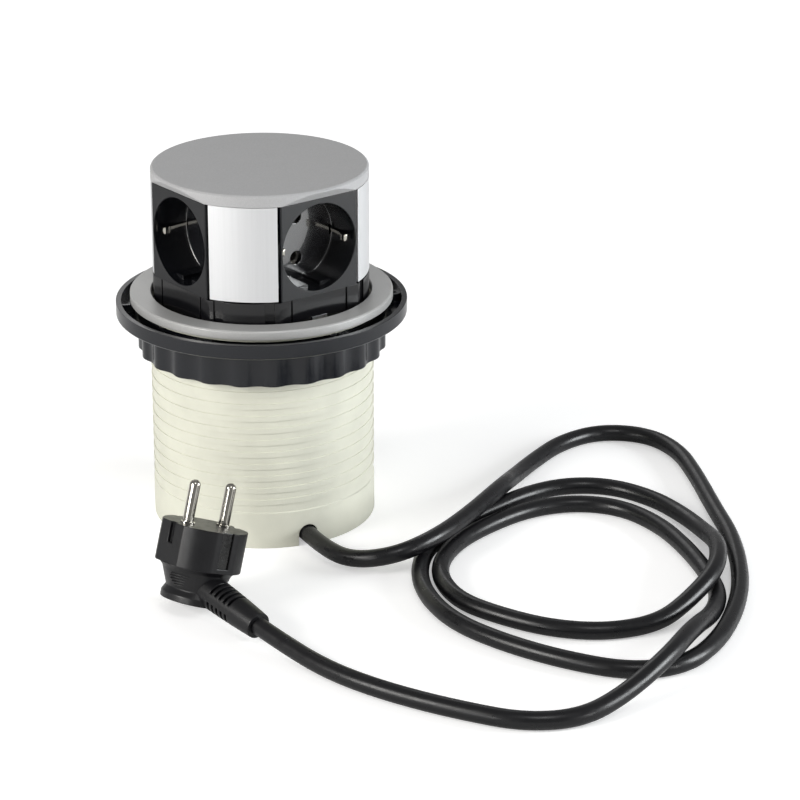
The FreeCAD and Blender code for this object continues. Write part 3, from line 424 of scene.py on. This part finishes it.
CORD_RADIUS = 3.9
CORD_POINTS = [
    (-10.9, -47.3, 5.3),
    (-15.2, -66.0, 5.3),
    (-14.0, -84.5, 5.5),
    (-3.0, -99.5, 9.6),
    (17.0, -102.0, 12.8),
    (46.0, -91.0, 12.8),
    (80.0, -74.0, 12.8),
    (103.0, -56.0, 6.0),
    (126.0, -43.0, 3.9),
    (151.0, -33.5, 3.9),
    (175.0, -34.5, 3.9),
    (190.5, -52.0, 3.9),
    (188.5, -76.5, 3.9),
    (173.5, -105.0, 3.9),
    (155.0, -136.0, 3.9),
    (137.0, -168.0, 3.9),
    (110.0, -202.0, 3.9),
    (84.0, -225.0, 3.9),
    (58.0, -241.5, 3.9),
    (33.0, -249.5, 3.9),
    (11.0, -240.5, 3.9),
    (-3.5, -215.0, 3.9),
    (-12.5, -187.0, 3.9),
    (-16.0, -160.0, 3.9),
    (-10.5, -135.0, 3.9),
    (1.0, -113.0, 3.9),
    (19.0, -94.0, 3.9),
    (43.0, -82.0, 3.9),
    (69.0, -76.2, 3.9),
    (95.0, -72.0, 3.9),
    (117.0, -74.5, 3.9),
    (134.0, -88.5, 3.9),
    (140.0, -112.0, 3.9),
    (137.0, -136.0, 4.2),
    (128.0, -160.0, 6.5),
    (114.0, -183.0, 12.8),
    (93.5, -203.0, 13.2),
    (71.5, -209.5, 7.5),
    (51.0, -213.0, 3.9),
    (28.0, -206.0, 3.9),
    (12.0, -189.0, 3.9),
    (3.0, -166.0, 3.9),
    (-1.0, -144.0, 3.9),
    (6.0, -122.0, 3.9),
    (19.0, -106.0, 3.9),
    (38.0, -94.5, 3.9),
    (60.0, -88.5, 3.9),
    (86.0, -86.0, 3.9),
    (108.0, -93.0, 3.9),
    (121.5, -111.0, 3.9),
    (121.5, -137.0, 3.9),
    (113.5, -163.0, 3.9),
    (103.0, -187.0, 3.9),
    (91.5, -207.5, 3.9),
    (73.0, -223.0, 5.5),
    (47.0, -238.5, 12.8),
    (20.0, -252.5, 12.8),
    (-8.0, -257.5, 6.0),
    (-32.0, -259.5, 3.9),
    (-52.5, -248.0, 3.9),
    (-65.0, -226.0, 3.9),
    (-75.0, -203.5, 3.9),
    (-82.0, -181.5, 3.9),
    (-85.5, -161.0, 3.9),
    (-86.9, -139.5, 5.0),
    (-87.9, -117.7, 7.4),
]


def lay_cord():
    line = bpy.data.curves.new("cord_line", "CURVE")
    line.dimensions = "3D"
    line.resolution_u = 10
    line.bevel_depth = CORD_RADIUS * MM
    line.bevel_resolution = 8
    line.use_fill_caps = True
    spline = line.splines.new("NURBS")
    spline.points.add(len(CORD_POINTS) - 1)
    for point, (x, y, z) in zip(spline.points, CORD_POINTS):
        point.co = (x * MM, y * MM, z * MM, 1)
    spline.order_u = 3
    spline.use_endpoint_u = True
    cord = bpy.data.objects.new("mains_cord", line)
    bpy.context.collection.objects.link(cord)
    return hand_over(cord, "power_cord")


mains_cord = lay_cord()


# Head: cap, panels, sockets, earth clips, skirt

# The earth clips' strip, in mm
STRIP = 0.6
CLIP_WIDTH = 1.5
# How each end is drawn out from the well's floor to its bead: how far aside and forward, in mm,
# and the shares by which it grows thicker and wider on the way
CLIP_STEPS = (
    (0, 7.2, 1, 1),
    (-0.2, 2.2, 1, 1),
    (-0.75, 2.6, 1, 1),
    (-0.6, 1.6, 1, 1),
    (-0.3, 0.3, 2.6, 1.7),
    (-0.1, 1.2, 1.8, 1.4),
    (0, 1.6, 1.0, 1.0),
    (0.1, 0.9, 0.75, 0.85),
    (0.1, 0.2, 0.5, 0.6),
)


def dress_panels():
    """One corner panel with its edges broken, turned to the other corners."""
    panel = rounded("corner_panel_1", "panel_1", 0.12)
    copies = [copy_turned(panel, f"panel_{i + 1}", 90 * i) for i in (1, 2, 3)]
    for i, piece in enumerate([panel] + copies, start=1):
        hand_over(piece, f"corner_panel_{i}")


def dress_sockets():
    """One socket well with its edges broken, turned to the four sides."""
    well = rounded("socket_insert_front", "socket_front", 0.3, segments=3, degrees=35)
    on_four_sides(well, "socket", "socket_insert")


def bend_clips():
    """The earth clips: a strip bent forward along the well's sides, its ends formed as beads."""
    low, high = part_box("earth_clip_front")
    level = (low.z + high.z) / 2 / MM
    back = high.y / MM
    reach = high.x / MM - STRIP / 2
    start_afresh()
    place = [number * MM for number in (reach / 2 + STRIP / 4, back - STRIP / 2, level)]
    bpy.ops.mesh.primitive_cube_add(size=1, location=place)
    clip = bpy.context.active_object
    clip.name = "clip_front"
    edit(clip)
    size = [number * MM for number in (reach + STRIP / 2, STRIP, CLIP_WIDTH)]
    bpy.ops.transform.resize(value=size)
    leave()
    settle(clip)
    edit(clip)
    corner = Vector((reach - STRIP / 2, back, level)) * MM
    bpy.ops.mesh.bisect(plane_co=corner, plane_no=(1, 0, 0))
    end = Vector((reach, back - STRIP, level))
    choose(clip, "FACE", lambda middle: (middle - end).length < 0.05)
    for aside, forward, thicker, wider in CLIP_STEPS:
        bpy.ops.mesh.extrude_region_move(
            TRANSFORM_OT_translate={"value": (aside * MM, -forward * MM, 0)}
        )
        bpy.ops.transform.resize(value=(thicker, 1, wider))
    leave()
    round_edges(clip, 0.08, segments=1, degrees=60)
    mirror = clip.modifiers.new("other_end", "MIRROR")
    mirror.use_axis = (True, False, False)
    mirror.merge_threshold = 0.02 * MM
    soften = clip.modifiers.new("soften", "SUBSURF")
    soften.levels = 2
    apply_modifiers(clip)
    edit(clip)
    bpy.ops.mesh.remove_doubles(threshold=MERGE * MM)
    bpy.ops.mesh.normals_make_consistent(inside=False)
    leave()
    smooth(clip, 60)
    on_four_sides(clip, "clip", "earth_clip")


dress("head_cap", "cap", 0.3, segments=3, degrees=25)
dress_panels()
dress_sockets()
bend_clips()
dress("head_frame", "skirt_and_deck", 0.18, degrees=35)


# Housing, trim ring, pressure ring, nut and cover

# The thread, in mm: the radii of the tube and of the flat top of the ridge, how far the ridge
# stands in the tube, its first edge's level, its height, its rounding, and its pitch
THREAD_ROOT = 50.0
THREAD_CREST = 50.42
THREAD_SINK = 0.4
THREAD_START = 17.1
RIDGE_HEIGHT = 2.6
RIDGE_ROUNDING = 0.12
PITCH = 5.71
TURNS = 14
STEPS_PER_TURN = 96


def wind_thread():
    """The housing's thread: a flat-topped ridge wound up the tube by a Screw modifier."""
    foot = THREAD_ROOT - THREAD_SINK
    start_afresh()
    bpy.ops.mesh.primitive_plane_add(
        size=1,
        location=(
            (foot + THREAD_CREST) / 2 * MM, 0, (THREAD_START + RIDGE_HEIGHT / 2) * MM
        ),
        rotation=(math.pi / 2, 0, 0),
    )
    ridge = bpy.context.active_object
    ridge.name = "housing_thread"
    settle(ridge)
    edit(ridge)
    bpy.ops.transform.resize(value=((THREAD_CREST - foot) * MM, 1, RIDGE_HEIGHT * MM))
    choose(ridge, "VERT", lambda middle: middle.x > THREAD_ROOT)
    bpy.ops.mesh.bevel(offset=RIDGE_ROUNDING * MM, segments=2, affect="VERTICES")
    bpy.ops.mesh.select_all(action="SELECT")
    bpy.ops.mesh.delete(type="ONLY_FACE")
    leave()
    wind = ridge.modifiers.new("wind", "SCREW")
    wind.axis = "Z"
    wind.angle = 2 * math.pi * TURNS
    wind.screw_offset = PITCH * TURNS * MM
    wind.steps = STEPS_PER_TURN * TURNS
    apply_modifiers(ridge)
    edit(ridge)
    bpy.ops.mesh.remove_doubles(threshold=MERGE * MM)
    bpy.ops.mesh.select_all(action="DESELECT")
    bpy.ops.mesh.select_non_manifold()
    bpy.ops.mesh.edge_face_add()
    bpy.ops.mesh.select_all(action="SELECT")
    bpy.ops.mesh.normals_make_consistent(inside=False)
    leave()
    smooth(ridge)
    add_on(ridge, "housing_tube")


dress("housing_tube", "housing", 0.3, degrees=35)
dress("trim_ring", "trim_ring_turned", 0.1, degrees=25)
dress("pressure_ring", "channel_ring", 0.15, degrees=35)
dress("clamp_nut", "wave_nut", 0.45, segments=3, degrees=40)
dress("base_cover", "bottom_cover", 0.25, degrees=35)
wind_thread()


# The cable inside, which shortens as the head sinks


def dress_lead():
    lead = merged_copy("inner_lead", "lead_inside")
    smooth(lead)
    hand_over(lead, "inner_lead")
    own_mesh(lead)


dress_lead()


# Plug

# The middle of the plug's face, in mm, the way that its pins point, and the way from pin to pin
PLUG_FACE = Vector((-81.486, -70.604, 35.769))
PINS_UP = Vector((0.326978, 0.097993, 0.939937))
PIN_LINE = Vector((0.945027, -0.030743, -0.325544))
# The finger lines on either side of the neck: the turn about the plug's axis, in degrees
GRIP_SIDES = {"left": 25, "right": 155}
# Each line's level below the face, half its length and how far out it runs, in mm
GRIP_LINES = (
    (-21.6, 4.6, 14.25),
    (-22.8, 5.4, 13.65),
    (-24.0, 5.4, 13.05),
    (-25.2, 4.6, 12.45),
    (-26.3, 3.2, 11.9),
)
GRIP_THICKNESS = 0.3


def on_plug(piece):
    """Carries a piece from the upright plug's own axes to where the plug lies."""
    back = PINS_UP.cross(PIN_LINE)
    turn = Matrix((PIN_LINE, back, PINS_UP)).transposed().to_4x4()
    piece.matrix_world = Matrix.Translation(PLUG_FACE * MM) @ turn
    bpy.context.view_layer.update()
    settle(piece)


def grip_line(name, level, reach, out, turn):
    """One thin raised line for the fingers, bent round a side of the plug's neck."""
    start_afresh()
    bpy.ops.mesh.primitive_torus_add(
        major_radius=out * MM,
        minor_radius=GRIP_THICKNESS * MM,
        major_segments=96,
        minor_segments=10,
        location=(0, 0, level * MM),
    )
    line = bpy.context.active_object
    line.name = name
    settle(line)
    edit(line)
    for way in (-1, 1):
        bpy.ops.mesh.select_all(action="SELECT")
        bpy.ops.mesh.bisect(
            plane_co=(0, way * reach * MM, 0), plane_no=(0, way, 0), clear_outer=True, use_fill=True
        )
    bpy.ops.mesh.select_all(action="SELECT")
    bpy.ops.mesh.bisect(plane_co=(0, 0, level * MM), plane_no=(1, 0, 0), clear_outer=True)
    leave()
    line.rotation_euler = (0, 0, math.radians(turn))
    settle(line)
    smooth(line, 40)
    return line


def dress_plug():
    """The plug's pieces, all of which move with the cord's end."""
    pieces = [dress("plug_body", "plug_moulding", 0.35, segments=3, degrees=20)]
    for side, turn in GRIP_SIDES.items():
        for i, (level, reach, out) in enumerate(GRIP_LINES, start=1):
            line = grip_line(f"grip_{side}_{i}", level, reach, out, turn)
            on_plug(line)
            pieces.append(add_on(line, "plug_body"))
    tail = merged_copy("plug_strain_relief", "plug_tail")
    round_edges(tail, 0.25, degrees=35)
    smooth(tail, 30)
    pieces.append(hand_over(tail, "plug_strain_relief"))
    strips = merged_copy("plug_earth_strips", "plug_side_contacts")
    round_edges(strips, 0.2, degrees=35)
    smooth(strips)
    pieces.append(hand_over(strips, "plug_earth_strips"))
    # Painted shade: the earth strips get a nickel darkened to near black, which stands for the
    # shade that fills their slots
    strips.data.materials[0] = plated("nickel_painted_shade", (0.06, 0.06, 0.06), 0.25)
    pins = merged_copy("plug_pins", "plug_pins_turned")
    smooth(pins, 30)
    pieces.append(hand_over(pins, "plug_pins"))
    return [piece.name for piece in pieces]


plug_pieces = dress_plug()


# Studio: white paper under and behind, soft boxes round about

# The share of the white surroundings that lights the object; the camera sees them all white
SKY = 0.3
PAPER = (0.82, 0.82, 0.82)
# What the camera sees the paper glow by, rising from near the object to far from it, in metres
GLOW_NEAR, GLOW_FAR = 0.4, 1.0
GLOW_FROM, GLOW_TO = 0.4, 1.8
# Where the lamps point
LIT_MIDDLE = Vector((0, 0, 0.08))
# Name, place and size in metres, power in watts, colour
LAMPS = (
    ("left_box", (-1.3, 0.1, 0.6), (0.6, 0.6), 15, (1, 0.985, 0.955)),
    ("right_box", (0.86, -0.86, 0.32), (0.5, 0.5), 13, (0.955, 0.985, 1)),
    ("left_strip", (-1.2, -0.42, 0.22), (0.1, 0.3), 1.5, (1, 1, 1)),
    ("right_strip", (0.3, -1.2, 0.2), (0.1, 0.3), 1.2, (1, 1, 1)),
    ("top_box", (-0.4, -1.0, 1.5), (0.6, 0.6), 4.5, (1, 1, 1)),
    ("back_box", (0.6, 1.4, 1.1), (0.9, 0.9), 3.5, (1, 1, 1)),
)


def shows_white(tree, strength, base):
    """A strength that has its base value as light and a further share for the camera."""
    path = tree.nodes.new("ShaderNodeLightPath")
    total = tree.nodes.new("ShaderNodeMath")
    total.operation = "MULTIPLY_ADD"
    tree.links.new(path.outputs["Is Camera Ray"], total.inputs[0])
    total.inputs[1].default_value = strength
    total.inputs[2].default_value = base
    return total.outputs[0]


def paper():
    """White paper that the camera sees a little brighter, and pure white further away."""
    material = bpy.data.materials.new("white_paper")
    material.use_nodes = True
    tree = material.node_tree
    shader = tree.nodes["Principled BSDF"]
    shader.inputs["Base Color"].default_value = (*PAPER, 1)
    shader.inputs["Roughness"].default_value = 0.9
    shader.inputs["Specular IOR Level"].default_value = 0.1
    shader.inputs["Emission Color"].default_value = (1, 1, 1, 1)
    place = tree.nodes.new("ShaderNodeTexCoord")
    away = tree.nodes.new("ShaderNodeVectorMath")
    away.operation = "LENGTH"
    tree.links.new(place.outputs["Object"], away.inputs[0])
    rise = tree.nodes.new("ShaderNodeMapRange")
    rise.inputs["From Min"].default_value = GLOW_FROM
    rise.inputs["From Max"].default_value = GLOW_TO
    rise.inputs["To Min"].default_value = GLOW_NEAR
    rise.inputs["To Max"].default_value = GLOW_FAR
    tree.links.new(away.outputs["Value"], rise.inputs["Value"])
    seen = tree.nodes.new("ShaderNodeMath")
    seen.operation = "MULTIPLY"
    tree.links.new(rise.outputs["Result"], seen.inputs[0])
    tree.links.new(shows_white(tree, 1.0, 0.0), seen.inputs[1])
    tree.links.new(seen.outputs[0], shader.inputs["Emission Strength"])
    return material


def build_studio():
    start_afresh()
    bpy.ops.mesh.primitive_plane_add(size=12)
    floor = bpy.context.active_object
    floor.name = "paper_floor"
    floor.data.materials.append(paper())
    world = bpy.data.worlds.new("studio")
    bpy.context.scene.world = world
    world.use_nodes = True
    tree = world.node_tree
    background = tree.nodes["Background"]
    background.inputs["Color"].default_value = (1, 1, 1, 1)
    tree.links.new(shows_white(tree, 1 - SKY, SKY), background.inputs["Strength"])
    for name, place, size, power, color in LAMPS:
        bpy.ops.object.light_add(type="AREA", location=place)
        lamp = bpy.context.active_object
        lamp.name = name
        lamp.data.shape = "RECTANGLE"
        lamp.data.size, lamp.data.size_y = size
        lamp.data.energy = power
        lamp.data.color = color
        aim = LIT_MIDDLE - Vector(place)
        lamp.rotation_euler = aim.to_track_quat("-Z", "Y").to_euler()
    bpy.context.scene.view_settings.view_transform = "Standard"


build_studio()
